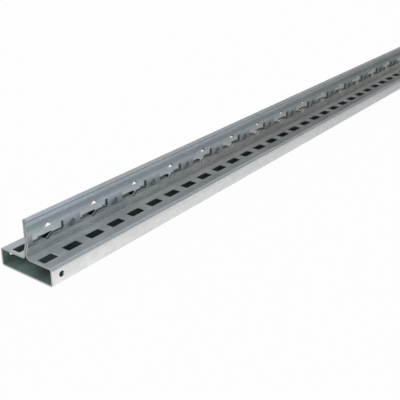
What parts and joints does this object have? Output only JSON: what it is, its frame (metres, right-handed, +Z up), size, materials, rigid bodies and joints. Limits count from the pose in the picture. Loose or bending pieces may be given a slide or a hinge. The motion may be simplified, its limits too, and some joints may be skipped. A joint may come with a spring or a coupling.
{
  "type": "t-section steel profile",
  "caption": "Roll-formed galvanised steel T-section upright with a hollow slotted base and a double-sheet fin pierced for shelf clips.",
  "frame": {"origin": "middle of the underside of the base, half way along the stock", "axes": "+X along the stock from the near end to the far end, +Y across to the flange on the plain side of the fin, +Z up along the fin"},
  "size_m": [2, 0.057, 0.05],
  "materials": {
    "galvanised_steel": "galvanised, soft satin with streaks along the rolling direction"
  },
  "bodies": {
    "root": {"t_profile": "galvanised_steel"}
  },
  "joints": []
}
